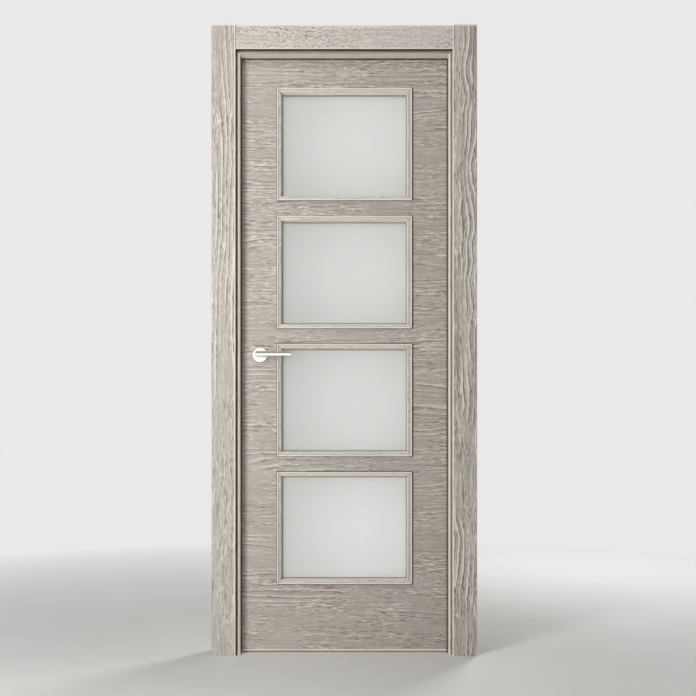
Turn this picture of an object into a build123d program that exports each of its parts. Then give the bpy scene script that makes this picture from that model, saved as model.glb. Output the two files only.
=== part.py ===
"""An interior door set: a leaf with four frosted panes, its frame, casings, hinges and levers.

Millimetres. +X runs from the latch side to the hinge side, +Y from the stops towards the side the
leaf opens to, +Z up. The origin is on the hinge jamb's outer face, at floor level, mid depth.
"""
import os

from build123d import *

# Leaf
LEAF_WIDTH = 713.0
LEAF_HEIGHT = 2030.0
LEAF_THICKNESS = 35.0
SKIN_THICKNESS = 4.0
LIPPING_THICKNESS = 2.5
STILE_WIDTH = 132.5
TOP_RAIL_HEIGHT = 112.5
BOTTOM_RAIL_HEIGHT = 235.0
CROSS_RAIL_HEIGHT = 67.5
PANE_COUNT = 4

# Running gaps around the leaf
HINGE_GAP = 5.0
LATCH_GAP = 6.5
TOP_GAP = 5.0
FLOOR_GAP = 7.0

# Frame
JAMB_THICKNESS = 30.0
JAMB_DEPTH = 75.0
STOP_PROJECTION = 8.5
STOP_SETBACK = 1.0
STOP_ROUND = 3.0
SEAL_THICKNESS = 4.5
SEAL_WIDTH = 8.0
SEAL_SHOW = 3.5
SEAL_ROUND = 1.5
SEAL_CLEARANCE = 0.5
MITRE_GAP = 0.2
QUIRK_DEPTH = 8.0

# Casings
CASING_WIDTH = 82.0
CASING_THICKNESS = 12.0
CASING_ROUND = 2.5
FRONT_REVEAL = 3.5
BACK_REVEAL = 10.0
SIDE_CASING_RISE = 3.0

# Glass and glazing beads
GLASS_THICKNESS = 4.0
GLASS_MARGIN = 3.0
BEAD_LIP = 7.0
BEAD_COVER = 11.0
BEAD_PROUD = 9.5
BEAD_SPLAY = 3.5
BEAD_RIDGE_RADIUS = 2.6
BEAD_HOLLOW = 4.5
BEAD_CROWN = 1.2

# Lever handles
HANDLE_HEIGHT = 1020.0
HANDLE_BACKSET = 67.0
ROSE_DIAMETER = 53.0
ROSE_THICKNESS = 9.0
ROSE_ROUND = 2.5
LEVER_STANDOFF = 48.0
LEVER_HEEL = 11.0
LEVER_REACH = 110.0
LEVER_HUB_RADIUS = 9.0
LEVER_TIP_RADIUS = 8.2
LEVER_END_ROUND = 3.0
NECK_RADIUS = 8.0
NECK_CLEARANCE = 0.3
SPINDLE_SIDE = 8.0
SPINDLE_HOLE_RADIUS = 7.0

# Latch and strike
FACEPLATE_WIDTH = 25.0
FACEPLATE_HEIGHT = 58.0
FACEPLATE_THICKNESS = 2.5
FACEPLATE_CORNER = 6.0
BOLT_WIDTH = 12.0
BOLT_HEIGHT = 17.0
BOLT_LENGTH = 28.0
BOLT_CLEARANCE = 0.3
STRIKE_THICKNESS = 2.0
STRIKE_WINDOW_MARGIN = 3.0
PLATE_CLEARANCE = 0.2

# Hinges
HINGE_COUNT = 3
HINGE_HEIGHT = 100.0
HINGE_END_DISTANCE = 200.0
HINGE_PLATE_THICKNESS = 2.5
HINGE_PLATE_SETBACK = 7.0
KNUCKLE_RADIUS = 6.5
KNUCKLE_OFFSET = 9.0
KNUCKLE_ROUND = 1.5
KNUCKLE_GAP = 0.4
PIN_RADIUS = 3.0
PIN_LENGTH = 36.0
PIN_CLEARANCE = 0.08
PIN_END_CLEARANCE = 1.0

# Places across the opening, from the hinge jamb's outer face
hinge_face_x = -JAMB_THICKNESS
leaf_hinge_x = hinge_face_x - HINGE_GAP
leaf_latch_x = leaf_hinge_x - LEAF_WIDTH
latch_face_x = leaf_latch_x - LATCH_GAP
latch_wall_x = latch_face_x - JAMB_THICKNESS
handle_x = leaf_latch_x + HANDLE_BACKSET

# Places through the wall
jamb_front_y = -JAMB_DEPTH / 2
jamb_back_y = JAMB_DEPTH / 2
leaf_back_y = jamb_back_y
leaf_front_y = leaf_back_y - LEAF_THICKNESS
leaf_mid_y = (leaf_front_y + leaf_back_y) / 2
stop_back_y = leaf_front_y - SEAL_CLEARANCE - SEAL_THICKNESS
stop_depth = stop_back_y - jamb_front_y - STOP_SETBACK
quirk_back_y = jamb_front_y + QUIRK_DEPTH
core_front_y = leaf_front_y + SKIN_THICKNESS
core_back_y = leaf_back_y - SKIN_THICKNESS

# Places up the opening
leaf_bottom_z = FLOOR_GAP
leaf_top_z = leaf_bottom_z + LEAF_HEIGHT
head_face_z = leaf_top_z + TOP_GAP
head_wall_z = head_face_z + JAMB_THICKNESS

# Glazed openings in the leaf
opening_width = LEAF_WIDTH - 2 * STILE_WIDTH
rails_height = TOP_RAIL_HEIGHT + BOTTOM_RAIL_HEIGHT + (PANE_COUNT - 1) * CROSS_RAIL_HEIGHT
opening_height = (LEAF_HEIGHT - rails_height) / PANE_COUNT
opening_left_x = leaf_latch_x + STILE_WIDTH
opening_right_x = leaf_hinge_x - STILE_WIDTH
opening_pitch = opening_height + CROSS_RAIL_HEIGHT
first_opening_z = leaf_bottom_z + BOTTOM_RAIL_HEIGHT
opening_bottoms = [first_opening_z + index * opening_pitch for index in range(PANE_COUNT)]

# Hinge axis, and the foot of each hinge from the lowest up
hinge_axis_x = leaf_hinge_x + HINGE_GAP / 2
hinge_axis_y = leaf_back_y + KNUCKLE_OFFSET
lowest_hinge_z = leaf_bottom_z + HINGE_END_DISTANCE
highest_hinge_z = leaf_top_z - HINGE_END_DISTANCE - HINGE_HEIGHT
hinge_pitch = (highest_hinge_z - lowest_hinge_z) / (HINGE_COUNT - 1)
hinge_feet = [lowest_hinge_z + index * hinge_pitch for index in range(HINGE_COUNT)]


def block(x_range, y_range, z_range):
    """A box between two values on each axis."""
    spans = (x_range, y_range, z_range)
    middle = [(low + high) / 2 for low, high in spans]
    sides = [abs(high - low) for low, high in spans]
    return Pos(*middle) * Box(*sides)


def edge_plate(x_range, width, height, corner):
    """A round-cornered plate that faces along X, at mid leaf thickness and handle height."""
    outline = Plane.YZ * RectangleRounded(width, height, corner)
    plate = extrude(outline, amount=x_range[1] - x_range[0])
    return Pos(x_range[0], leaf_mid_y, HANDLE_HEIGHT) * plate


def strip(section, length, seat, inward, outward, mitres):
    """A section run along a straight seat, its ends square or mitred.

    The section's first axis points inward, across the seat, and its second outward from it. The
    length is taken at the seat's line, where the section's first coordinate is zero.
    """
    box = section.bounding_box()
    low, high = box.min.Y, box.max.Y
    half = (length - MITRE_GAP) / 2
    start, end = mitres
    plan = Polygon(
        (-half + low * start, low),
        (half - low * end, low),
        (half - high * end, high),
        (-half + high * start, high),
        align=None,
    )
    reach = length + 2 * abs(low)
    body = extrude(section, amount=reach / 2, both=True)
    trimmed = body & (Pos(0, 0, box.min.Z) * extrude(plan, amount=box.max.Z - box.min.Z))
    along = Vector(*inward).cross(Vector(*outward))
    return Plane(origin=seat, x_dir=along, z_dir=outward).location * trimmed


def frame_strips(section, seat_y):
    """Latch, hinge and head lengths of one section round the frame, mitred at the two corners."""
    front = (0, -1, 0)
    mid_x = (hinge_face_x + latch_face_x) / 2
    width = hinge_face_x - latch_face_x
    latch_seat = (latch_face_x, seat_y, head_face_z / 2)
    hinge_seat = (hinge_face_x, seat_y, head_face_z / 2)
    head_seat = (mid_x, seat_y, head_face_z)
    latch = strip(section, head_face_z, latch_seat, (1, 0, 0), front, (1, 0))
    hinge = strip(section, head_face_z, hinge_seat, (-1, 0, 0), front, (0, 1))
    head = strip(section, width, head_seat, (0, 0, -1), front, (1, 1))
    return latch, hinge, head


def jambs():
    """Two full-height jambs, let in for the strike and the hinges, and a head between them.

    A quirk cut in their front arris parts the stops from the front casings.
    """
    depth = (jamb_front_y, jamb_back_y)
    quirk = (jamb_front_y, quirk_back_y)
    quirk_top_z = head_face_z + FRONT_REVEAL
    latch = block((latch_wall_x, latch_face_x), depth, (0, head_wall_z))
    latch -= edge_plate(
        (latch_face_x - STRIKE_THICKNESS, latch_face_x),
        FACEPLATE_WIDTH + 2 * PLATE_CLEARANCE,
        FACEPLATE_HEIGHT + 2 * PLATE_CLEARANCE,
        FACEPLATE_CORNER + PLATE_CLEARANCE,
    )
    latch -= block((latch_face_x - FRONT_REVEAL, latch_face_x), quirk, (0, quirk_top_z))
    hinge = block((hinge_face_x, 0), depth, (0, head_wall_z))
    hinge -= block((hinge_face_x, hinge_face_x + FRONT_REVEAL), quirk, (0, quirk_top_z))
    for foot in hinge_feet:
        hinge -= hinge_mortise((hinge_face_x, hinge_face_x + HINGE_PLATE_THICKNESS), foot)
    head = block((latch_face_x, hinge_face_x), depth, (head_face_z, head_wall_z))
    head -= block((latch_face_x, hinge_face_x), quirk, (head_face_z, quirk_top_z))
    return {"latch_jamb": latch, "hinge_jamb": hinge, "head_jamb": head}


def stops():
    """Stop strips planted on the jambs, their inner front arris rounded."""
    section = Pos(STOP_PROJECTION / 2, stop_depth / 2) * Rectangle(STOP_PROJECTION, stop_depth)
    arris = section.vertices().sort_by(lambda corner: corner.X + corner.Y)[-1]
    section = Plane.YZ * fillet(arris, STOP_ROUND)
    latch, hinge, head = frame_strips(section, stop_back_y)
    return {"latch_stop": latch, "hinge_stop": hinge, "head_stop": head}


def seal():
    """Soft seal on the back of the stops, in three lengths that show past them, clear of the leaf."""
    middle = STOP_PROJECTION + SEAL_SHOW - SEAL_WIDTH / 2
    section = Pos(middle, -SEAL_THICKNESS / 2) * Rectangle(SEAL_WIDTH, SEAL_THICKNESS)
    lips = section.vertices().sort_by(Axis.Y)[:2]
    section = Plane.YZ * fillet(lips, SEAL_ROUND)
    return {"door_seal": Compound(children=list(frame_strips(section, stop_back_y)))}


def casings(side, wall_y, front_y, reveal):
    """Two side casings that run past the head casing between them, on one face of the wall."""
    depth = (wall_y, front_y)
    facing = 0 if front_y < wall_y else -1
    latch_inner_x = latch_face_x - reveal
    hinge_inner_x = hinge_face_x + reveal
    head_bottom_z = head_face_z + reveal
    head_top_z = head_bottom_z + CASING_WIDTH
    full_height = (0, head_top_z + SIDE_CASING_RISE)
    boards = {
        "latch": (block((latch_inner_x - CASING_WIDTH, latch_inner_x), depth, full_height), Axis.Z),
        "hinge": (block((hinge_inner_x, hinge_inner_x + CASING_WIDTH), depth, full_height), Axis.Z),
        "head": (block((latch_inner_x, hinge_inner_x), depth, (head_bottom_z, head_top_z)), Axis.X),
    }
    made = {}
    for place, (board, grain) in boards.items():
        arrises = board.edges().filter_by(grain).group_by(Axis.Y)[facing]
        made[f"{side}_{place}_casing"] = fillet(arrises, CASING_ROUND)
    return made


def all_casings():
    """The two sets of casings."""
    front_y = jamb_front_y - CASING_THICKNESS
    back_y = jamb_back_y + CASING_THICKNESS
    front = casings("front", jamb_front_y, front_y, FRONT_REVEAL)
    back = casings("back", jamb_back_y, back_y, BACK_REVEAL)
    return front | back


def spindle_hole():
    """The round hole for the spindle through the whole leaf."""
    bore = Cylinder(SPINDLE_HOLE_RADIUS, LEAF_THICKNESS)
    return Pos(handle_x, leaf_mid_y, HANDLE_HEIGHT) * Rot(90, 0, 0) * bore


def hinge_mortise(x_range, foot):
    """The recess for one hinge plate, open at the back face."""
    y_range = (leaf_front_y + HINGE_PLATE_SETBACK - PLATE_CLEARANCE, leaf_back_y)
    z_range = (foot - PLATE_CLEARANCE, foot + HINGE_HEIGHT + PLATE_CLEARANCE)
    return block(x_range, y_range, z_range)


def latch_recess():
    """The recess for the latch faceplate and the pocket for its bolt."""
    plate = edge_plate(
        (leaf_latch_x, leaf_latch_x + FACEPLATE_THICKNESS),
        FACEPLATE_WIDTH + 2 * PLATE_CLEARANCE,
        FACEPLATE_HEIGHT + 2 * PLATE_CLEARANCE,
        FACEPLATE_CORNER + PLATE_CLEARANCE,
    )
    return plate + bolt_block(BOLT_CLEARANCE)


def bolt_block(clearance):
    """The latch bolt's straight sides, with a clearance on each for its pocket."""
    half_width = BOLT_WIDTH / 2 + clearance
    half_height = BOLT_HEIGHT / 2 + clearance
    return block(
        (leaf_latch_x, leaf_latch_x + BOLT_LENGTH),
        (leaf_mid_y - half_width, leaf_mid_y + half_width),
        (HANDLE_HEIGHT - half_height, HANDLE_HEIGHT + half_height),
    )


def leaf_core():
    """Stiles and rails under the skins, and a lipping on each long edge."""
    core = (core_front_y, core_back_y)
    through = (leaf_front_y, leaf_back_y)
    height = (leaf_bottom_z, leaf_top_z)
    latch_core_x = leaf_latch_x + LIPPING_THICKNESS
    hinge_core_x = leaf_hinge_x - LIPPING_THICKNESS
    latch_stile = block((latch_core_x, opening_left_x), core, height) - spindle_hole() - latch_recess()
    latch_lipping = block((leaf_latch_x, latch_core_x), through, height) - latch_recess()
    hinge_stile = block((opening_right_x, hinge_core_x), core, height)
    hinge_lipping = block((hinge_core_x, leaf_hinge_x), through, height)
    for foot in hinge_feet:
        mortise = hinge_mortise((leaf_hinge_x - HINGE_PLATE_THICKNESS, leaf_hinge_x), foot)
        hinge_stile -= mortise
        hinge_lipping -= mortise
    made = {
        "latch_stile": latch_stile,
        "hinge_stile": hinge_stile,
        "latch_lipping": latch_lipping,
        "hinge_lipping": hinge_lipping,
    }
    across = (opening_left_x, opening_right_x)
    made["bottom_rail"] = block(across, core, (leaf_bottom_z, first_opening_z))
    for index, rail_top in enumerate(opening_bottoms[1:], start=1):
        made[f"cross_rail_{index}"] = block(across, core, (rail_top - CROSS_RAIL_HEIGHT, rail_top))
    made["top_rail"] = block(across, core, (leaf_top_z - TOP_RAIL_HEIGHT, leaf_top_z))
    return made


def skin(y_range):
    """One face of the leaf: a sheet with the glazed openings cut through it."""
    x_range = (leaf_latch_x + LIPPING_THICKNESS, leaf_hinge_x - LIPPING_THICKNESS)
    sheet = block(x_range, y_range, (leaf_bottom_z, leaf_top_z))
    for bottom in opening_bottoms:
        sheet -= block((opening_left_x, opening_right_x), y_range, (bottom, bottom + opening_height))
    for foot in hinge_feet:
        sheet -= hinge_mortise((leaf_hinge_x - HINGE_PLATE_THICKNESS, leaf_hinge_x), foot)
    return sheet - spindle_hole() - latch_recess()


def skins():
    """The leaf's two faces."""
    return {
        "front_skin": skin((leaf_front_y, core_front_y)),
        "back_skin": skin((core_back_y, leaf_back_y)),
    }


def glass():
    """Four panes at mid thickness, held by the beads on both faces."""
    x_range = (opening_left_x + GLASS_MARGIN, opening_right_x - GLASS_MARGIN)
    y_range = (leaf_mid_y - GLASS_THICKNESS / 2, leaf_mid_y + GLASS_THICKNESS / 2)
    panes = {}
    for index, bottom in enumerate(opening_bottoms, start=1):
        z_range = (bottom + GLASS_MARGIN, bottom + opening_height - GLASS_MARGIN)
        panes[f"glass_pane_{index}"] = block(x_range, y_range, z_range)
    return panes


def bead_section():
    """A glazing bead: a lip with a round ridge over the face, a crown, and a splay to the glass."""
    glass_depth = (LEAF_THICKNESS - GLASS_THICKNESS) / 2
    ridge_foot = BEAD_PROUD - BEAD_RIDGE_RADIUS
    crown_foot = BEAD_PROUD - BEAD_HOLLOW
    crown_start = -BEAD_LIP + 2 * BEAD_RIDGE_RADIUS
    crown_end = BEAD_COVER - BEAD_SPLAY
    crown_top = ((crown_start + crown_end) / 2, crown_foot + BEAD_CROWN)
    outline = [
        Line((-BEAD_LIP, 0), (-BEAD_LIP, ridge_foot)),
        ThreePointArc(
            (-BEAD_LIP, ridge_foot),
            (-BEAD_LIP + BEAD_RIDGE_RADIUS, BEAD_PROUD),
            (crown_start, ridge_foot),
        ),
        Line((crown_start, ridge_foot), (crown_start, crown_foot)),
        ThreePointArc((crown_start, crown_foot), crown_top, (crown_end, crown_foot)),
        Line((crown_end, crown_foot), (BEAD_COVER, -glass_depth)),
        Line((BEAD_COVER, -glass_depth), (0, -glass_depth)),
        Line((0, -glass_depth), (0, 0)),
        Line((0, 0), (-BEAD_LIP, 0)),
    ]
    return Plane.YZ * make_face(outline)


def beads(side, face_y, outward):
    """Mitred beads round every pane on one face: the uprights, and those that lie across."""
    section = bead_section()
    mid_x = (opening_left_x + opening_right_x) / 2
    uprights = []
    across = []
    for bottom in opening_bottoms:
        top = bottom + opening_height
        mid_z = (bottom + top) / 2
        for seat_x, inward in ((opening_left_x, 1), (opening_right_x, -1)):
            seat = (seat_x, face_y, mid_z)
            uprights.append(strip(section, opening_height, seat, (inward, 0, 0), outward, (1, 1)))
        for seat_z, inward in ((bottom, 1), (top, -1)):
            seat = (mid_x, face_y, seat_z)
            across.append(strip(section, opening_width, seat, (0, 0, inward), outward, (1, 1)))
    return {
        f"{side}_upright_beads": Compound(children=uprights),
        f"{side}_cross_beads": Compound(children=across),
    }


def all_beads():
    """The beads on the leaf's two faces."""
    return beads("front", leaf_front_y, (0, -1, 0)) | beads("back", leaf_back_y, (0, 1, 0))


def to_back(shape):
    """The same piece on the leaf's other face."""
    return mirror(shape, about=Plane(origin=(0, leaf_mid_y, 0), z_dir=(0, 1, 0)))


def roses():
    """Round roses on both faces, bored for the levers' necks."""
    disc = Cylinder(ROSE_DIAMETER / 2, ROSE_THICKNESS)
    disc = fillet(disc.edges().sort_by(Axis.Z)[-1], ROSE_ROUND)
    disc -= Cylinder(NECK_RADIUS + NECK_CLEARANCE, ROSE_THICKNESS)
    middle_y = leaf_front_y - ROSE_THICKNESS / 2
    front = Pos(handle_x, middle_y, HANDLE_HEIGHT) * Rot(90, 0, 0) * disc
    return {"front_rose": front, "back_rose": to_back(front)}


def levers():
    """A straight round bar with a short heel on a neck, on both faces, and the spindle between."""
    half_profile = Polygon(
        (-LEVER_HEEL, 0),
        (LEVER_REACH, 0),
        (LEVER_REACH, LEVER_TIP_RADIUS),
        (-LEVER_HEEL, LEVER_HUB_RADIUS),
        align=None,
    )
    ends = half_profile.vertices().sort_by(Axis.Y)[-2:]
    bar = revolve(fillet(ends, LEVER_END_ROUND), axis=Axis.X)
    neck_length = LEVER_STANDOFF - NECK_CLEARANCE
    neck = Pos(0, neck_length / 2, 0) * Rot(90, 0, 0) * Cylinder(NECK_RADIUS, neck_length)
    front = Pos(handle_x, leaf_front_y - LEVER_STANDOFF, HANDLE_HEIGHT) * (bar + neck)
    spindle_length = LEAF_THICKNESS + 2 * NECK_CLEARANCE
    spindle = Pos(handle_x, leaf_mid_y, HANDLE_HEIGHT) * Box(SPINDLE_SIDE, spindle_length, SPINDLE_SIDE)
    return {"front_lever": front, "back_lever": to_back(front), "spindle": spindle}


def latch():
    """The latch faceplate with its bolt drawn flush, and the strike plate facing it."""
    faceplate = edge_plate(
        (leaf_latch_x, leaf_latch_x + FACEPLATE_THICKNESS),
        FACEPLATE_WIDTH,
        FACEPLATE_HEIGHT,
        FACEPLATE_CORNER,
    )
    strike = edge_plate(
        (latch_face_x - STRIKE_THICKNESS, latch_face_x),
        FACEPLATE_WIDTH,
        FACEPLATE_HEIGHT,
        FACEPLATE_CORNER,
    )
    window = bolt_block(STRIKE_WINDOW_MARGIN)
    strike -= Pos(latch_face_x - STRIKE_THICKNESS - leaf_latch_x, 0, 0) * window
    return {
        "latch_faceplate": faceplate - bolt_block(BOLT_CLEARANCE),
        "latch_bolt": bolt_block(0),
        "strike_plate": strike,
    }


def knuckle(foot, length):
    """One rounded barrel on the hinge axis."""
    barrel = Cylinder(KNUCKLE_RADIUS, length)
    rims = barrel.edges().filter_by(GeomType.CIRCLE)
    barrel = fillet(rims, KNUCKLE_ROUND)
    return Pos(hinge_axis_x, hinge_axis_y, foot + length / 2) * barrel


def axis_rod(radius, z_range):
    """A round rod along the hinge axis."""
    low, high = z_range
    return Pos(hinge_axis_x, hinge_axis_y, (low + high) / 2) * Cylinder(radius, high - low)


def hinge_half(x_range, foot, knuckle_foot, knuckle_length):
    """A hinge plate let into an edge, with an arm out to its barrel."""
    plate_front_y = leaf_front_y + HINGE_PLATE_SETBACK
    plate = block(x_range, (plate_front_y, leaf_back_y), (foot, foot + HINGE_HEIGHT))
    arm_z = (knuckle_foot + KNUCKLE_ROUND, knuckle_foot + knuckle_length - KNUCKLE_ROUND)
    arm = block(x_range, (leaf_back_y, hinge_axis_y), arm_z)
    return plate + arm + knuckle(knuckle_foot, knuckle_length)


def hinges():
    """Lift-off hinges: the frame half carries the pin, the leaf half turns on it."""
    length = (HINGE_HEIGHT - KNUCKLE_GAP) / 2
    frame_x = (hinge_face_x, hinge_face_x + HINGE_PLATE_THICKNESS)
    leaf_x = (leaf_hinge_x - HINGE_PLATE_THICKNESS, leaf_hinge_x)
    frame_halves = []
    leaf_halves = []
    for foot in hinge_feet:
        seat = foot + length
        upper_foot = seat + KNUCKLE_GAP
        pin = axis_rod(PIN_RADIUS, (foot + KNUCKLE_ROUND, upper_foot + PIN_LENGTH))
        bore_top = upper_foot + PIN_LENGTH + PIN_END_CLEARANCE
        bore = axis_rod(PIN_RADIUS + PIN_CLEARANCE, (seat, bore_top))
        frame_halves.append(hinge_half(frame_x, foot, foot, length) + pin)
        leaf_halves.append(hinge_half(leaf_x, foot, upper_foot, length) - bore)
    return {
        "hinge_frame_halves": Compound(children=frame_halves),
        "hinge_leaf_halves": Compound(children=leaf_halves),
    }


def main():
    """Make every piece and write one file for each."""
    pieces = {}
    for group in (jambs, stops, seal, all_casings, leaf_core, skins, glass, all_beads):
        pieces |= group()
    for group in (roses, levers, latch, hinges):
        pieces |= group()
    os.makedirs("parts", exist_ok=True)
    for name, shape in pieces.items():
        export_step(shape, f"parts/{name}.step")


main()
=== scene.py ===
"""Looks of a glazed door set: limed oak veneer, frosted panes, bright levers and satin steel."""
import math

import bmesh
import bpy
from mathutils import Matrix, Vector


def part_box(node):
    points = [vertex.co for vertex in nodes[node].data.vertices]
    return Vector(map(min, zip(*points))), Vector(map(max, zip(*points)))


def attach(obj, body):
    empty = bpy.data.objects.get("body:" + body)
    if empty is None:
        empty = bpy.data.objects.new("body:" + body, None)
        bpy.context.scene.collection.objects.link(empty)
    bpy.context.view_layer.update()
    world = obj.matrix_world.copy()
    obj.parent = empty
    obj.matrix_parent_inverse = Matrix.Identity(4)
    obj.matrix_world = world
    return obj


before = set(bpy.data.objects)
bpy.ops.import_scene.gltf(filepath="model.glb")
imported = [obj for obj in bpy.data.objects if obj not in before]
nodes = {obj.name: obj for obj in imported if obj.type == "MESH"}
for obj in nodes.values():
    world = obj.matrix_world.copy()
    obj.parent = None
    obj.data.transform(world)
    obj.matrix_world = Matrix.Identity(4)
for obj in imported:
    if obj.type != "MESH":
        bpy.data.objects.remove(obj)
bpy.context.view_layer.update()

MM = 0.001

# Places read from the frame, in metres
latch_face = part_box("latch_jamb")[1].x
hinge_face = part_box("hinge_jamb")[0].x
door_middle = (latch_face + hinge_face) / 2
casing_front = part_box("front_latch_casing")[0].y
leaf_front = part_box("front_skin")[0].y
leaf_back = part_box("back_skin")[1].y
leaf_middle = (leaf_front + leaf_back) / 2
bead_proud = leaf_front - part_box("front_cross_beads")[0].y

# Small pieces
BEAD_LAP = 8.0 * MM
GASKET_SHOW = 1.3 * MM
GASKET_DEPTH = 1.4 * MM
GASKET_ROUND = 0.4 * MM
HINGE_COUNT = 3
HINGE_HEIGHT = 100.0 * MM
HINGE_SCREW = 4.0 * MM
LATCH_SCREW = 3.2 * MM
LATCH_SCREW_END = 9.0 * MM
COLLAR_RADIUS = 9.6 * MM
COLLAR_WIRE = 1.1 * MM

# A screw head, as shares of its radius
CROSS_REACH = 0.52
CROSS_DEPTH = 0.3
SCREW_FLAT = 0.86
SCREW_RISE = 0.1
SCREW_SUNK = 0.06
SCREW_TURN = 0.7

# The photograph's view, in metres and pixels of its 696 pixel frame
PHOTO_WIDTH = 696
DOOR_COLUMN = 344.3
FLOOR_ROW = 656.0
CAMERA_DISTANCE = 3.2
CAMERA_HEIGHT = 0.75
METRES_PER_PIXEL = 3.372 * MM
SENSOR_WIDTH = 36.0

# Brightness of the surround: seen straight, as plain light, and in shiny metal low down and high up
SURROUND = 0.82
AMBIENT = 0.11
SHINE_LOW = 1.2
SHINE_HIGH = 0.34


def shade(red, green, blue):
    """A colour given in eight bit display values, as the linear values that a shader takes."""
    linear = []
    for value in (red, green, blue):
        part = value / 255
        linear.append(part / 12.92 if part <= 0.04045 else ((part + 0.055) / 1.055) ** 2.4)
    return (*linear, 1.0)


class Mixture:
    """Short ways to add nodes to a tree and join them."""

    def __init__(self, tree):
        self.tree = tree

    def node(self, kind, **settings):
        made = self.tree.nodes.new(kind)
        for key, value in settings.items():
            setattr(made, key, value)
        return made

    def feed(self, socket, value):
        """Joins a socket to another, or sets it to a constant."""
        if isinstance(value, bpy.types.NodeSocket):
            self.tree.links.new(value, socket)
        else:
            socket.default_value = value

    def math(self, operation, first, second=0.0):
        made = self.node("ShaderNodeMath", operation=operation)
        self.feed(made.inputs[0], first)
        self.feed(made.inputs[1], second)
        return made.outputs[0]

    def vector(self, operation, first, second):
        made = self.node("ShaderNodeVectorMath", operation=operation)
        self.feed(made.inputs[0], first)
        self.feed(made.inputs[1], second)
        return made.outputs[0]

    def place(self, offset=(0, 0, 0), turn=(0, 0, 0)):
        """The piece's own coordinates, turned and moved."""
        mapping = self.node("ShaderNodeMapping")
        self.feed(mapping.inputs["Vector"], self.node("ShaderNodeTexCoord").outputs["Object"])
        self.feed(mapping.inputs["Location"], offset)
        self.feed(mapping.inputs["Rotation"], turn)
        return mapping.outputs["Vector"]

    def axis(self, name):
        """One of the piece's own coordinates."""
        split = self.node("ShaderNodeSeparateXYZ")
        self.feed(split.inputs[0], self.place())
        return split.outputs[name]

    def distance(self, spots):
        """How far a point is from a place given for one or more axes, by the axis where it is furthest."""
        furthest = 0.0
        for axis, spot in spots.items():
            away = self.math("ABSOLUTE", self.math("SUBTRACT", self.axis(axis), spot))
            furthest = self.math("MAXIMUM", away, furthest)
        return furthest

    def noise(self, place, stretch, detail=2.0, roughness=0.5, distortion=0.0):
        made = self.node("ShaderNodeTexNoise")
        self.feed(made.inputs["Vector"], self.vector("MULTIPLY", place, stretch))
        self.feed(made.inputs["Scale"], 1.0)
        self.feed(made.inputs["Detail"], detail)
        self.feed(made.inputs["Roughness"], roughness)
        self.feed(made.inputs["Distortion"], distortion)
        return made.outputs["Fac"]

    def ramp(self, value, stops):
        """A colour or grey ramp with its stops given as (place, colour or grey)."""
        made = self.node("ShaderNodeValToRGB")
        elements = made.color_ramp.elements
        while len(elements) < len(stops):
            elements.new(0.5)
        for element, (spot, colour) in zip(elements, stops):
            element.position = spot
            element.color = colour if isinstance(colour, tuple) else (colour, colour, colour, 1.0)
        self.feed(made.inputs["Fac"], value)
        return made.outputs["Color"]

    def span(self, value, low, high, out_low=0.0, out_high=1.0):
        """A value carried from one range to another, held at its ends."""
        made = self.node("ShaderNodeMapRange")
        for socket, number in zip(made.inputs[:5], (value, low, high, out_low, out_high)):
            self.feed(socket, number)
        return made.outputs[0]

    def total(self, start, *shares):
        """A number plus each (value, weight) share's part above or below one half."""
        result = start
        for value, weight in shares:
            part = self.math("MULTIPLY", self.math("SUBTRACT", value, 0.5), weight)
            result = self.math("ADD", part, result)
        return result

    def choose(self, amount, first, second):
        """A number between two, by an amount from nought to one."""
        made = self.node("ShaderNodeMix")
        for socket, value in zip(made.inputs[0:1] + made.inputs[2:4], (amount, first, second)):
            self.feed(socket, value)
        return made.outputs[0]

    def blend(self, amount, first, second):
        """A colour between two, by an amount from nought to one."""
        made = self.node("ShaderNodeMix", data_type="RGBA")
        self.feed(made.inputs[0], amount)
        self.feed(made.inputs[6], first)
        self.feed(made.inputs[7], second)
        return made.outputs[2]


class Finish(Mixture):
    """A material being mixed, with its shader."""

    def __init__(self, name):
        self.material = bpy.data.materials.new(name)
        self.material.use_nodes = True
        super().__init__(self.material.node_tree)
        self.shader = self.tree.nodes["Principled BSDF"]

    def set(self, **values):
        """Sets the shader's own sockets, given with underscores for spaces."""
        for key, value in values.items():
            self.feed(self.shader.inputs[key.replace("_", " ")], value)

    def stain(self, amount, colour):
        """Blends a colour over what the shader has."""
        under = self.shader.inputs["Base Color"].links[0].from_socket
        self.set(Base_Color=self.blend(amount, under, colour))

    def relief(self, height, strength, depth):
        """Bump from a height."""
        made = self.node("ShaderNodeBump")
        self.feed(made.inputs["Height"], height)
        self.feed(made.inputs["Strength"], strength)
        self.feed(made.inputs["Distance"], depth)
        self.set(Normal=made.outputs["Normal"])


# Veneer: strips across the leaf, joints between pieces, painted highlights in lime's colour along edges,
# and painted shade by the beads and casing arrises
GRAIN_TURN = {"X": (0, 0, 0), "Z": (0, math.pi / 2, 0)}
# Lime's colour, for the limed pores and also for painted highlights along edges, on the stops, soffit and
# beads
LIME_AND_HIGHLIGHT = shade(240, 233, 223)
# Dark joint colour, also used as painted shade on the beads' outer sides, round the rings and on casing
# arrises
JOINT_AND_SHADE_STAIN = shade(80, 70, 62)
FIRST_STRIP_TOP = 91 * MM
STRIP_HEIGHT = 170 * MM
# Painted shadow: the dark joint round each ring of beads is widened to this width to stand in for the
# beads' shadow
BEAD_JOINT_AND_SHADOW = 2.6 * MM
BEAD_MIDDLE = 9.0 * MM
MITRE_LINE = 0.8 * MM
# Painted highlights: bands (start, end) in from the casings' inner arrises, along the casing tops and along
# the leaf's foot
CASING_HIGHLIGHT = (2.0 * MM, 6.5 * MM)
CASING_ARRIS_HIGHLIGHT = (0.0, 4.0 * MM)
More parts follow.
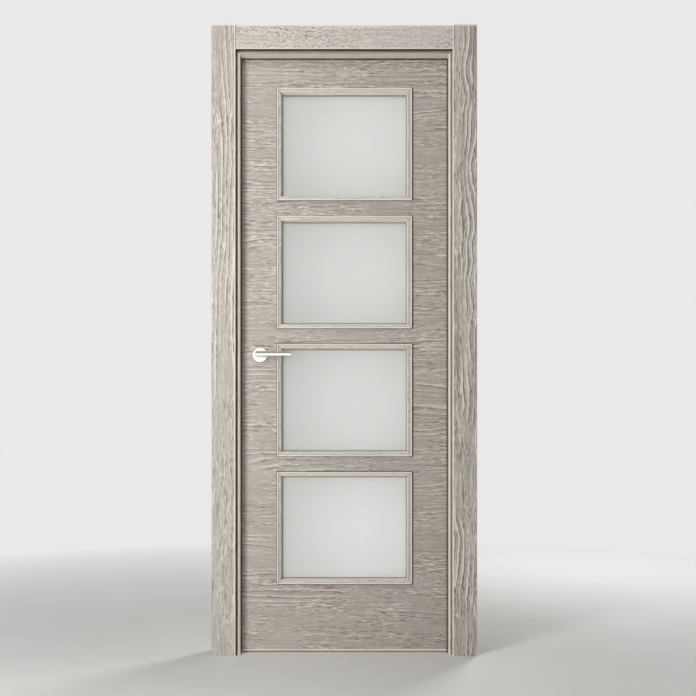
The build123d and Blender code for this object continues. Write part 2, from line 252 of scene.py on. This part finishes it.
# Painted highlights on the latch stop's inner face and the hinge stop's arris
STOP_FACE_HIGHLIGHT = (0.0, 5.5 * MM)
STOP_ARRIS_HIGHLIGHT = (0.0, 4.0 * MM)
TOP_ARRIS_HIGHLIGHT = (0.0, 5.0 * MM)
LEAF_FOOT_HIGHLIGHT = (0.0, 5.0 * MM)
# Painted light over the head stop's soffit, lightening an underside that sits in shade
SOFFIT_PAINTED_LIGHT = (0.0, 22.0 * MM)
SOFFIT_LIGHT_INSET = 12.0 * MM

# Glass: how many panes, and where across each its painted pool of light is brightest
PANE_COUNT = 4
GLOW_SPOT = 0.64

# One growth line across its gap: a thin dark line, a pale one beside it, then plain wood
GROWTH_LINE = [
    (0.0, 0.5),
    (0.06, 0.05),
    (0.17, 0.05),
    (0.24, 0.5),
    (0.3, 0.95),
    (0.44, 0.9),
    (0.56, 0.5),
    (1.0, 0.5),
]


def strip_shift(finish, place):
    """Moves the pattern from one veneer strip of the leaf to the next, so that each has its own figure."""
    strip = finish.math("DIVIDE", finish.math("SUBTRACT", finish.axis("Z"), FIRST_STRIP_TOP), STRIP_HEIGHT)
    shift = finish.node("ShaderNodeCombineXYZ")
    number = finish.math("FLOOR", strip)
    finish.feed(shift.inputs["X"], finish.math("MULTIPLY", number, 1.37))
    finish.feed(shift.inputs["Z"], finish.math("MULTIPLY", number, 0.43))
    return finish.vector("ADD", place, shift.outputs[0])


def limed_oak(name, grain, seed, figure, contrast, lime, pale=0.5, edges=(), strips=False):
    """Grey oak veneer with lime in its pores. After the turn X runs along the grain and Z across it.

    The figure is (gap, wander, waves, bold, fleck): the gap between growth lines, how far they wander, how
    often in a metre, how much they show, and how many flecks a metre has. The pale tone holds painted light
    as well as the wood's own lightness; a pale pair runs from the latch to the hinges, lighter at the latch
    as painted light. Edges are (places, start, end): painted highlights in lime's colour between two
    distances from a place on each axis.
    """
    gap, wander, waves, bold, fleck = figure
    finish = Finish(name)
    place = finish.place((seed, 0.37 * seed, 0.61 * seed), GRAIN_TURN[grain])
    if strips:
        place = strip_shift(finish, place)
    sway = finish.noise(place, (1.1, 4.0, 4.0), detail=2.0)
    ripple = finish.noise(place, (6.0, 18.0, 18.0), detail=1.0)
    bend = finish.total(0.0, (sway, 0.04), (ripple, 0.01))
    across = finish.node("ShaderNodeCombineXYZ")
    finish.feed(across.inputs["Y"], bend)
    finish.feed(across.inputs["Z"], bend)
    fibre = finish.vector("ADD", place, across.outputs[0])

    line = finish.noise(fibre, (0.2 * fleck, 330.0, 330.0), detail=4.0, roughness=0.6)
    thread = finish.noise(fibre, (1.5 * fleck, 900.0, 900.0), detail=3.0, roughness=0.65)
    split = finish.node("ShaderNodeSeparateXYZ")
    finish.feed(split.inputs[0], fibre)
    waver = finish.noise(fibre, (waves, 8.0, 8.0), detail=1.5)
    drift = finish.total(split.outputs["Z"], (waver, wander), (line, 10 * MM), (thread, 8 * MM))
    rings = finish.math("FRACT", finish.math("DIVIDE", drift, gap))
    growth = finish.ramp(rings, GROWTH_LINE)
    band = finish.noise(fibre, (2.0, 44.0, 44.0), detail=2.0)
    pale_fleck = finish.total(finish.noise(fibre, (fleck, 440.0, 440.0), detail=1.0), (thread, 0.3))
    pale_dash = finish.span(pale_fleck, 0.56, 0.66, 0.5, 1.0)
    dark_fleck = finish.total(finish.noise(fibre, (0.8 * fleck, 420.0, 400.0), detail=1.0), (thread, -0.3))
    dark_dash = finish.span(dark_fleck, 0.57, 0.68, 0.5, 0.0)
    clump = finish.noise(place, (2.6, 20.0, 20.0), detail=1.0)
    vivid = finish.span(clump, 0.46, 0.64, 0.08 * bold * contrast, bold * contrast)
    patch = finish.noise(place, (6.0, 16.0, 16.0), detail=1.0)
    lively = finish.span(patch, 0.42, 0.66, 0.35 * contrast, 1.7 * contrast)

    # Painted light: a pale pair makes the leaf lighter at the latch and darker at the hinges
    if isinstance(pale, tuple):
        pale = finish.span(finish.axis("X"), latch_face, hinge_face, *pale)
    tone = finish.total(
        pale,
        (growth, vivid),
        (band, 0.3 * bold * contrast),
        (line, 0.85 * contrast),
        (pale_dash, lively),
        (dark_dash, lively),
        (thread, 0.6 * contrast),
    )
    wood = finish.ramp(tone, [
        (0.0, shade(104, 93, 84)),
        (0.26, shade(148, 138, 129)),
        (0.5, shade(181, 172, 164)),
        (0.74, shade(207, 199, 191)),
        (1.0, shade(240, 233, 224)),
    ])
    tint = finish.noise(place, (1.6, 6.0, 6.0), detail=1.0)
    hue = finish.ramp(tint, [
        (0.34, shade(174, 173, 156)),
        (0.5, shade(181, 173, 164)),
        (0.66, shade(185, 173, 167)),
    ])
    wood = finish.blend(0.25, wood, hue)

    pores = finish.noise(fibre, (26.0, 1100.0, 1100.0), detail=1.0)
    pore = finish.math("MULTIPLY", finish.span(pores, 0.55, 0.66), finish.span(rings, 0.05, 0.5, 1.0, 0.3))
    wood = finish.blend(finish.math("MULTIPLY", pore, lime), wood, LIME_AND_HIGHLIGHT)
    # Painted highlights: lime's colour in bands along edges, on the stops and over the soffit, where light
    # catches
    for spots, start, end in edges:
        away = finish.distance(spots)
        patchy_highlight = finish.span(line, 0.3, 0.5, 0.75, 1.0)
        past_start = finish.span(away, start - 0.4 * MM, start)
        inside = finish.math("MULTIPLY", past_start, finish.span(away, end, 0.75 * end))
        wood = finish.blend(finish.math("MULTIPLY", inside, patchy_highlight), wood, LIME_AND_HIGHLIGHT)
    finish.set(Base_Color=wood)
    finish.set(Roughness=finish.span(line, 0.3, 0.7, 0.62, 0.46))
    finish.set(Specular_IOR_Level=0.3)
    height = finish.math("SUBTRACT", finish.math("MULTIPLY", thread, 0.4), pore)
    finish.relief(height, 0.35, 0.25 * MM)
    return finish


def ring_edges(finish):
    """How far a point lies beside, and above or below, its pane's ring of beads. Under nought is inside."""
    low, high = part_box("front_cross_beads")
    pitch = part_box("glass_pane_2")[0].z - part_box("glass_pane_1")[0].z
    height = high.z - low.z - (PANE_COUNT - 1) * pitch
    lift = finish.math("SUBTRACT", finish.axis("Z"), low.z)
    storey = finish.math("FLOOR", finish.math("DIVIDE", lift, pitch))
    storey = finish.math("MINIMUM", finish.math("MAXIMUM", storey, 0.0), PANE_COUNT - 1)
    lift = finish.math("SUBTRACT", lift, finish.math("MULTIPLY", storey, pitch))
    rise = finish.math("ABSOLUTE", finish.math("SUBTRACT", lift, height / 2))
    beside = finish.math("SUBTRACT", finish.distance({"X": (low.x + high.x) / 2}), (high.x - low.x) / 2)
    return beside, finish.math("SUBTRACT", rise, height / 2)


def bead_highlight_and_shade(finish):
    """Painted highlight in lime's colour on the beads' ridges and inner splays, painted shade on their
    outer sides, and dark joint lines on their mitres.
    """
    depth = finish.distance({"Y": leaf_middle})
    face = (leaf_back - leaf_front) / 2
    beside, above = ring_edges(finish)
    outside = finish.math("MAXIMUM", beside, above)
    # Painted highlights on the ridges and inner splays
    ridge_highlight = finish.span(depth, face + 0.8 * bead_proud, face + 0.9 * bead_proud, 0.0, 0.95)
    splay_highlight = finish.span(depth, face + 0.45 * bead_proud, face + 0.3 * bead_proud, 0.0, 0.8)
    splay_highlight = finish.math("MULTIPLY", splay_highlight, finish.span(outside, -BEAD_MIDDLE, -1.2 * BEAD_MIDDLE))
    finish.stain(finish.math("MAXIMUM", ridge_highlight, splay_highlight), LIME_AND_HIGHLIGHT)
    # Painted shade on the beads' outer sides near the leaf's face
    side = finish.span(depth, face + 0.8 * bead_proud, face + 0.6 * bead_proud, 0.0, 0.8)
    finish.stain(finish.math("MULTIPLY", side, finish.span(outside, -1.0 * MM, -0.5 * MM)), JOINT_AND_SHADE_STAIN)
    mitre = finish.math("ABSOLUTE", finish.math("SUBTRACT", beside, above))
    finish.stain(finish.span(mitre, MITRE_LINE, 0.5 * MITRE_LINE, 0.0, 0.7), JOINT_AND_SHADE_STAIN)


def bead_joint_and_shadow(finish):
    """The dark joint where the beads' outer edges meet the leaf's face, widened into a band of painted
    shadow round each ring.
    """
    outside = finish.math("MAXIMUM", *ring_edges(finish))
    finish.stain(finish.span(outside, BEAD_JOINT_AND_SHADOW, 0.7 * BEAD_JOINT_AND_SHADOW), JOINT_AND_SHADE_STAIN)


def arris_shade(finish, edge):
    """Painted shade: a casing's inner arris darkened beside its quirk."""
    spots, start, end = edge
    finish.stain(finish.span(finish.distance(spots), start, 0.7 * start), JOINT_AND_SHADE_STAIN)


def core_timber():
    """Plain pale core wood, seen only on the leaf's top and bottom edges."""
    finish = Finish("core_wood")
    place = finish.place((0.3, 0.1, 0.2), GRAIN_TURN["Z"])
    rings = finish.noise(place, (2.0, 120.0, 120.0), detail=3.0)
    wood = finish.ramp(rings, [
        (0.3, shade(172, 142, 104)),
        (0.5, shade(196, 168, 130)),
        (0.7, shade(210, 186, 150)),
    ])
    finish.set(Base_Color=wood, Roughness=finish.span(rings, 0.3, 0.7, 0.75, 0.6))
    finish.relief(rings, 0.2, 0.3 * MM)
    return finish.material


def pane_glow_tints(lift):
    """The glass's painted glow from its brightest spot outwards, paler by a lift."""
    return [
        (0.0, shade(224 + lift, 226 + lift, 223 + lift)),
        (0.25, shade(220 + lift, 222 + lift, 219 + lift)),
        (0.5, shade(207 + lift, 210 + lift, 206 + lift)),
        (0.75, shade(195 + lift, 198 + lift, 194 + lift)),
    ]


def frosted_glass():
    """Satin etched glass, pale and faintly green, with a painted pool of light brightest a little right of
    each pane's middle and the upper panes painted paler.
    """
    finish = Finish("etched_glass")
    place = finish.place()
    low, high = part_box("glass_pane_1")
    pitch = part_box("glass_pane_2")[0].z - low.z
    split = finish.node("ShaderNodeSeparateXYZ")
    finish.feed(split.inputs[0], place)
    spot = low.x + GLOW_SPOT * (high.x - low.x)
    sideways = finish.math("DIVIDE", finish.math("SUBTRACT", split.outputs["X"], spot), high.x - low.x)
    storey = finish.math("DIVIDE", finish.math("SUBTRACT", split.outputs["Z"], low.z), pitch)
    upward = finish.math("SUBTRACT", finish.math("FRACT", storey), (high.z - low.z) / pitch / 2)
    away = finish.node("ShaderNodeCombineXYZ")
    finish.feed(away.inputs["X"], sideways)
    finish.feed(away.inputs["Z"], upward)
    reach = finish.node("ShaderNodeVectorMath", operation="LENGTH")
    finish.feed(reach.inputs[0], away.outputs[0])
    # Painted light: each pane brightest at its glow spot and darker towards its edges, and paler in the
    # upper panes
    lower = finish.ramp(reach.outputs["Value"], pane_glow_tints(0))
    upper = finish.ramp(reach.outputs["Value"], pane_glow_tints(16))
    height = finish.span(split.outputs["Z"], low.z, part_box("glass_pane_4")[1].z)
    finish.set(Base_Color=finish.blend(height, lower, upper))
    etch = finish.noise(place, (2600.0, 2600.0, 2600.0), detail=1.0)
    finish.set(Roughness=finish.span(etch, 0.3, 0.7, 0.44, 0.56))
    finish.set(Transmission_Weight=0.85, IOR=1.5)
    finish.relief(etch, 0.12, 0.05 * MM)
    return finish.material


def polished_metal():
    """Bright handle metal with faint polishing marks."""
    finish = Finish("bright_handle")
    place = finish.place()
    smear = finish.noise(place, (60.0, 60.0, 60.0), detail=3.0)
    lines = finish.noise(place, (90.0, 2400.0, 2400.0), detail=1.0)
    finish.set(Base_Color=finish.ramp(smear, [(0.3, shade(240, 238, 232)), (0.7, shade(249, 248, 244))]))
    finish.set(Metallic=1.0, Roughness=finish.span(smear, 0.3, 0.7, 0.12, 0.2))
    finish.relief(lines, 0.04, 0.05 * MM)
    return finish.material


def satin_steel():
    """Brushed steel of the hinges, latch and strike."""
    finish = Finish("brushed_steel")
    place = finish.place(turn=GRAIN_TURN["Z"])
    brush = finish.noise(place, (14.0, 2200.0, 2200.0), detail=2.0)
    smear = finish.noise(place, (25.0, 25.0, 25.0), detail=2.0)
    finish.set(Base_Color=finish.ramp(brush, [(0.3, shade(140, 138, 135)), (0.7, shade(170, 168, 165))]))
    finish.set(Metallic=1.0, Roughness=finish.span(smear, 0.3, 0.7, 0.26, 0.38))
    finish.relief(brush, 0.1, 0.05 * MM)
    return finish.material


def seal_rubber():
    """Dark soft rubber with a dusty bloom."""
    finish = Finish("dark_rubber")
    bloom = finish.noise(finish.place(), (120.0, 120.0, 120.0), detail=3.0)
    finish.set(Base_Color=finish.ramp(bloom, [(0.3, shade(48, 41, 36)), (0.75, shade(68, 60, 53))]))
    finish.set(Roughness=finish.span(bloom, 0.3, 0.7, 0.55, 0.75))
    finish.relief(bloom, 0.1, 0.1 * MM)
    return finish.material


def dress(material, *names):
    """Gives CAD nodes a finish."""
    for name in names:
        slots = nodes[name].data.materials
        slots.clear()
        slots.append(material)


def inner_edge(name):
    """The edge of a casing or stop that faces the doorway, by its axis and place."""
    low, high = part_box(name)
    if "head" in name:
        return {"Z": low.z}
    return {"X": high.x if "latch" in name else low.x}


def stop_highlight(place):
    """Where painted highlights in lime's colour go: the latch stop's inner face, the hinge stop's arris,
    and painted light over the head stop's soffit.
    """
    low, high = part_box(f"{place}_stop")
    if place == "head":
        return ({"Y": high.y - SOFFIT_LIGHT_INSET}, *SOFFIT_PAINTED_LIGHT)
    if place == "latch":
        return (inner_edge("latch_stop"), *STOP_FACE_HIGHLIGHT)
    return ({"X": low.x, "Y": low.y}, *STOP_ARRIS_HIGHLIGHT)


def dress_frame():
    """Every CAD node's finish. Each board has its own stretch of veneer."""
    # Painted light in the pale tones: the leaf runs lighter at the latch than at the hinges, and the latch
    # and head boards get paler tones and the hinge board a darker one, as lit and shaded copies
    leaf_oak = dict(
        figure=(15 * MM, 0.1, 1.7, 1.0, 36.0),
        contrast=0.82,
        lime=0.15,
        pale=(0.56, 0.43),
        strips=True,
    )
    board_oak = {
        "latch": dict(figure=(17 * MM, 0.09, 1.7, 1.1, 36.0), contrast=1.2, lime=0.3, pale=0.62),
        "hinge": dict(figure=(18 * MM, 0.08, 4.5, 2.7, 34.0), contrast=1.3, lime=0.3, pale=0.53),
        "head": dict(figure=(15 * MM, 0.1, 1.7, 0.5, 90.0), contrast=1.2, lime=0.3, pale=0.77),
    }
    strip_oak = dict(figure=(13 * MM, 0.05, 1.7, 0.8, 24.0), contrast=0.6, lime=0.2)
    bead_oak = dict(figure=(13 * MM, 0.05, 1.7, 0.5, 40.0), contrast=0.6, lime=0.2)
    skin_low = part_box("front_skin")[0].z
    for side, seed in (("front", 1.7), ("back", 5.3)):
        # Painted highlight along the leaf's foot
        foot_highlight = ({"Z": skin_low}, *LEAF_FOOT_HIGHLIGHT)
        veneer = limed_oak(f"leaf_{side}_veneer", "X", seed, edges=[foot_highlight], **leaf_oak)
        bead_joint_and_shadow(veneer)
        dress(veneer.material, f"{side}_skin")
    seeds = {"latch": 2.9, "hinge": 4.2, "head": 11.9}
    for place, seed in seeds.items():
        grain = "X" if place == "head" else "Z"
        for start, side in ((0.0, "front"), (4.1, "back")):
            name = f"{side}_{place}_casing"
            # Painted highlight bands by the casings' inner arrises and along their tops
            band = CASING_ARRIS_HIGHLIGHT if place == "hinge" else CASING_HIGHLIGHT
            arris = (inner_edge(name), *band)
            top = ({"Z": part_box(name)[1].z}, *TOP_ARRIS_HIGHLIGHT)
            oak = board_oak[place]
            veneer = limed_oak(f"{name}_veneer", grain, start + seed, edges=[arris, top], **oak)
            # Painted shade on the inner arris beside the quirk
            if band == CASING_HIGHLIGHT:
                arris_shade(veneer, arris)
            dress(veneer.material, name)
        stop = f"{place}_stop"
        veneer = limed_oak(f"{stop}_veneer", grain, 7.7 + seed, edges=[stop_highlight(place)], **strip_oak)
        dress(veneer.material, stop)
        dress(limed_oak(f"{place}_jamb_veneer", grain, 9.1 + seed, **strip_oak).material, f"{place}_jamb")
    dress(limed_oak("lipping_veneer", "Z", 6.4, **strip_oak).material, "latch_lipping", "hinge_lipping")
    # Painted light: the cross beads get a paler tone than the upright ones, as if lit from above
    for place, grain, seed, pale in (("upright", "Z", 3.3, 0.64), ("cross", "X", 4.6, 0.84)):
        veneer = limed_oak(f"{place}_bead_veneer", grain, seed, pale=pale, **bead_oak)
        bead_highlight_and_shade(veneer)
        dress(veneer.material, f"front_{place}_beads", f"back_{place}_beads")
    dress(core_timber(), *[name for name in nodes if name.endswith(("_stile", "_rail")) or "rail_" in name])
    dress(frosted_glass(), *[name for name in nodes if name.startswith("glass_pane")])
    dress(handle_metal, "front_lever", "back_lever", "front_rose", "back_rose", "spindle")
    dress(steel, "hinge_frame_halves", "hinge_leaf_halves", "latch_faceplate", "latch_bolt", "strike_plate")
    dress(rubber, "door_seal")


def piece(name, bm, material, body):
    """Makes a finished mesh a piece that rides on a body."""
    bmesh.ops.recalc_face_normals(bm, faces=bm.faces[:])
    mesh = bpy.data.meshes.new(name)
    bm.to_mesh(mesh)
    bm.free()
    mesh.materials.append(material)
    made = bpy.data.objects.new(name, mesh)
    bpy.context.scene.collection.objects.link(made)
    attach(made, body)


def only(kind, geometry):
    """The vertices, edges or faces among an operator's results."""
    return [item for item in geometry if isinstance(item, kind)]


def gasket_ring(bm, pane, outward):
    """A rubber ring on one face of a pane, close against the feet of the beads."""
    low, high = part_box(pane)
    size = high - low
    centre = (low + high) / 2
    centre.y = low.y if outward < 0 else high.y
    spread = Matrix.Diagonal((size.x - 2 * BEAD_LAP, 1, size.z - 2 * BEAD_LAP, 1))
    upright = Matrix.Rotation(math.pi / 2, 4, "X")
    seat = Matrix.Translation(centre) @ spread @ upright
    corners = bmesh.ops.create_grid(bm, x_segments=1, y_segments=1, size=0.5, matrix=seat)["verts"]
    sheet = corners[0].link_faces[0]
    rim = bmesh.ops.inset_region(
        bm, faces=[sheet], thickness=GASKET_SHOW, use_boundary=True, use_even_offset=True,
    )["faces"]
    bmesh.ops.delete(bm, geom=[sheet], context="FACES_ONLY")
    raised = bmesh.ops.extrude_face_region(bm, geom=rim)["geom"]
    bmesh.ops.translate(bm, verts=only(bmesh.types.BMVert, raised), vec=(0, outward * GASKET_DEPTH, 0))
    bmesh.ops.recalc_face_normals(bm, faces=bm.faces[:])
    lips = [edge for edge in only(bmesh.types.BMEdge, raised) if edge.calc_face_angle(0.0) > 1.0]
    bmesh.ops.bevel(
        bm, geom=lips, offset=GASKET_ROUND, offset_type="OFFSET", affect="EDGES",
        segments=2, profile=0.5, material=-1,
    )


def glazing_gaskets():
    """The dark line between the beads and the glass, on both faces of the leaf."""
    for side, outward in (("front", -1), ("back", 1)):
        bm = bmesh.new()
        for pane in sorted(name for name in nodes if name.startswith("glass_pane")):
            gasket_ring(bm, pane, outward)
        piece(f"{side}_glazing_gaskets", bm, rubber, "leaf")


def screw_pattern(bm):
    """A screw head of radius one that looks along Z, with a cross recess and a sloped rim."""
    cross = bmesh.ops.create_grid(bm, x_segments=3, y_segments=3, size=CROSS_REACH)["verts"]
    arms = {face for vert in cross for face in vert.link_faces}
    spots = {face: face.calc_center_median() for face in arms}
    corners = [face for face in arms if abs(spots[face].x * spots[face].y) > CROSS_REACH ** 2 / 9]
    arms = [face for face in arms if face not in corners]
    bmesh.ops.delete(bm, geom=corners, context="FACES")
    outline = {edge for face in arms for edge in face.edges if edge.is_boundary}
    bmesh.ops.bisect_edges(bm, edges=list(outline), cuts=1)
    outline = {edge for face in arms for edge in face.edges if edge.is_boundary}
    circle = bmesh.ops.create_circle(bm, segments=len(outline), radius=SCREW_FLAT)["verts"]
    flat_edge = {edge for vert in circle for edge in vert.link_edges}
    bmesh.ops.bridge_loops(bm, edges=list(outline | flat_edge))
    for grow, drop in ((1 / SCREW_FLAT, SCREW_RISE), (1.0, SCREW_SUNK)):
        rim = bmesh.ops.extrude_edge_only(bm, edges=list(flat_edge))["geom"]
        flat_edge = only(bmesh.types.BMEdge, rim)
        verts = only(bmesh.types.BMVert, rim)
        bmesh.ops.scale(bm, vec=(grow, grow, 1), verts=verts)
        bmesh.ops.translate(bm, vec=(0, 0, -drop), verts=verts)
    recess = only(bmesh.types.BMVert, bmesh.ops.extrude_face_region(bm, geom=arms)["geom"])
    bmesh.ops.scale(bm, vec=(0.7, 0.7, 1), verts=recess)
    bmesh.ops.translate(bm, vec=(0, 0, -CROSS_DEPTH), verts=recess)
    bmesh.ops.translate(bm, vec=(0, 0, SCREW_RISE), verts=bm.verts[:])
    return bm.verts[:] + bm.edges[:] + bm.faces[:]


def screws(name, body, radius, facing, spots):
    """Screw heads on plates that face along X, each turned its own way."""
    bm = bmesh.new()
    pattern = screw_pattern(bm)
    face_on = Matrix.Rotation(facing * math.pi / 2, 4, "Y") @ Matrix.Scale(radius, 4)
    for number, spot in enumerate(spots):
        copy = bmesh.ops.duplicate(bm, geom=pattern)["geom"]
        seat = Matrix.Translation(spot) @ face_on @ Matrix.Rotation(SCREW_TURN * number, 4, "Z")
        bmesh.ops.transform(bm, matrix=seat, verts=only(bmesh.types.BMVert, copy))
    bmesh.ops.delete(bm, geom=only(bmesh.types.BMVert, pattern), context="VERTS")
    piece(name, bm, steel, body)


def hinge_screws():
    """Four staggered screws in each hinge plate."""
    low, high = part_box("hinge_frame_halves")
    lift = (high.z - low.z - HINGE_HEIGHT) / (HINGE_COUNT - 1)
    inset = (leaf_back - low.y) / 3
    spots = []
    for hinge in range(HINGE_COUNT):
        for row in range(4):
            y = low.y + inset * (1 + row % 2)
            spots.append((y, low.z + hinge * lift + HINGE_HEIGHT * (row + 0.5) / 4))
    leaf_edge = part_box("hinge_lipping")[1].x
    screws("hinge_frame_screws", "frame", HINGE_SCREW, -1, [(hinge_face, y, z) for y, z in spots])
    screws("hinge_leaf_screws", "leaf", HINGE_SCREW, 1, [(leaf_edge, y, z) for y, z in spots])


def latch_screws():
    """Two screws in the latch faceplate and two in the strike."""
    for node, name, body, facing in (
        ("latch_faceplate", "faceplate_screws", "leaf", -1),
        ("strike_plate", "strike_screws", "frame", 1),
    ):
        low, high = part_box(node)
        middle = (low + high) / 2
        face = low.x if facing < 0 else high.x
        reach = (high.z - low.z) / 2 - LATCH_SCREW_END
        spots = [(face, middle.y, middle.z - reach), (face, middle.y, middle.z + reach)]
        screws(name, body, LATCH_SCREW, facing, spots)


def neck_rings():
    """A thin round collar where each lever's neck enters its rose."""
    for side, outward in (("front", -1), ("back", 1)):
        low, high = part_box(f"{side}_rose")
        centre = (low + high) / 2
        centre.y = low.y if outward < 0 else high.y
        bm = bmesh.new()
        wire = bmesh.ops.create_circle(bm, segments=10, radius=COLLAR_WIRE)["verts"]
        loop = list({edge for vert in wire for edge in vert.link_edges})
        bmesh.ops.translate(bm, vec=centre + Vector((COLLAR_RADIUS, 0, 0)), verts=wire)
        bmesh.ops.spin(
            bm, geom=wire + loop, cent=centre, axis=(0, 1, 0), angle=2 * math.pi, steps=64, use_merge=True,
        )
        piece(f"{side}_neck_collar", bm, handle_metal, "leaf")


def camera():
    """The photograph's view: level, straight on, low, with the lens shifted up."""
    data = bpy.data.cameras.new("photo_camera")
    seen_width = PHOTO_WIDTH * METRES_PER_PIXEL
    horizon_row = FLOOR_ROW - CAMERA_HEIGHT / METRES_PER_PIXEL
    data.sensor_width = SENSOR_WIDTH
    data.lens = SENSOR_WIDTH * CAMERA_DISTANCE / seen_width
    data.shift_x = (PHOTO_WIDTH / 2 - DOOR_COLUMN) / PHOTO_WIDTH
    data.shift_y = (horizon_row - PHOTO_WIDTH / 2) / PHOTO_WIDTH
    made = bpy.data.objects.new("photo_camera", data)
    made.location = (door_middle, casing_front - CAMERA_DISTANCE, CAMERA_HEIGHT)
    made.rotation_euler = (math.pi / 2, 0, 0)
    bpy.context.scene.collection.objects.link(made)
    bpy.context.scene.camera = made


def soft_lamp(name, place, target, sides, power):
    """A soft lamp of a given width and height, aimed at a point."""
    data = bpy.data.lights.new(name, "AREA")
    data.shape = "RECTANGLE"
    data.size, data.size_y = sides
    data.energy = power
    made = bpy.data.objects.new(name, data)
    made.location = place
    made.rotation_euler = (Vector(target) - Vector(place)).to_track_quat("-Z", "Y").to_euler()
    made.visible_camera = False
    bpy.context.scene.collection.objects.link(made)
    return made


def floor():
    """A pale floor that keeps the door's shadow and fades into the surround further off."""
    bm = bmesh.new()
    bmesh.ops.create_grid(bm, x_segments=1, y_segments=1, size=12.0)
    mesh = bpy.data.meshes.new("floor")
    bm.to_mesh(mesh)
    bm.free()
    made = bpy.data.objects.new("floor", mesh)
    bpy.context.scene.collection.objects.link(made)
    finish = Finish("floor_paint")
    mottle = finish.noise(finish.place(), (3.0, 3.0, 3.0), detail=2.0)
    finish.set(Base_Color=finish.ramp(mottle, [(0.3, shade(232, 231, 228)), (0.7, shade(236, 235, 232))]))
    finish.set(Roughness=0.8)
    distance = finish.node("ShaderNodeVectorMath", operation="LENGTH")
    finish.feed(distance.inputs[0], finish.place(offset=(-door_middle, 0, 0)))
    ray = finish.node("ShaderNodeLightPath")
    far = finish.span(distance.outputs["Value"], 0.9, 3.4)
    seen = finish.math("MULTIPLY", far, ray.outputs["Is Camera Ray"])
    mirrored = finish.math("MAXIMUM", ray.outputs["Is Glossy Ray"], ray.outputs["Is Transmission Ray"])
    glow = finish.node("ShaderNodeEmission")
    finish.feed(glow.inputs["Strength"], finish.choose(ray.outputs["Is Glossy Ray"], SURROUND, SHINE_LOW))
    mix = finish.node("ShaderNodeMixShader")
    finish.feed(mix.inputs[0], finish.math("MAXIMUM", seen, mirrored))
    finish.feed(mix.inputs[1], finish.shader.outputs[0])
    finish.feed(mix.inputs[2], glow.outputs[0])
    finish.feed(finish.tree.nodes["Material Output"].inputs["Surface"], mix.outputs[0])
    mesh.materials.append(finish.material)


def surround():
    """A pale surround, seen straight or through the glass. Shiny metal sees it darker high up."""
    world = bpy.data.worlds.new("surround")
    bpy.context.scene.world = world
    world.use_nodes = True
    mixture = Mixture(world.node_tree)
    ray = mixture.node("ShaderNodeLightPath").outputs
    split = mixture.node("ShaderNodeSeparateXYZ")
    mixture.feed(split.inputs[0], mixture.node("ShaderNodeTexCoord").outputs["Generated"])
    shine = mixture.span(split.outputs["Z"], 0.12, 0.24, SHINE_LOW, SHINE_HIGH)
    strength = mixture.choose(ray["Is Glossy Ray"], AMBIENT, shine)
    straight = mixture.math("MAXIMUM", ray["Is Camera Ray"], ray["Is Transmission Ray"])
    strength = mixture.choose(straight, strength, SURROUND)
    background = mixture.tree.nodes["Background"]
    mixture.feed(background.inputs["Color"], (1.0, 1.0, 0.995, 1.0))
    mixture.feed(background.inputs["Strength"], strength)


def lamps():
    """A tall key lamp at the left, a broad one above, and a fill behind that the glass doesn't pass on."""
    middle = (door_middle, casing_front, 1.05)
    key = soft_lamp("key_lamp", (door_middle - 1.4, casing_front - 2.0, 1.3), middle, (0.8, 1.5), 45.0)
    top = soft_lamp("top_lamp", (door_middle - 0.3, casing_front - 1.7, 3.3), middle, (1.2, 0.7), 14.0)
    fill = soft_lamp("back_lamp", (door_middle + 1.8, 2.8, 2.0), middle, (1.2, 1.6), 80.0)
    for lamp in (key, top, fill):
        lamp.visible_glossy = False
    fill.visible_transmission = False
    bpy.context.scene.view_settings.view_transform = "Standard"


steel = satin_steel()
rubber = seal_rubber()
handle_metal = polished_metal()
dress_frame()
glazing_gaskets()
hinge_screws()
latch_screws()
neck_rings()
camera()
floor()
surround()
lamps()
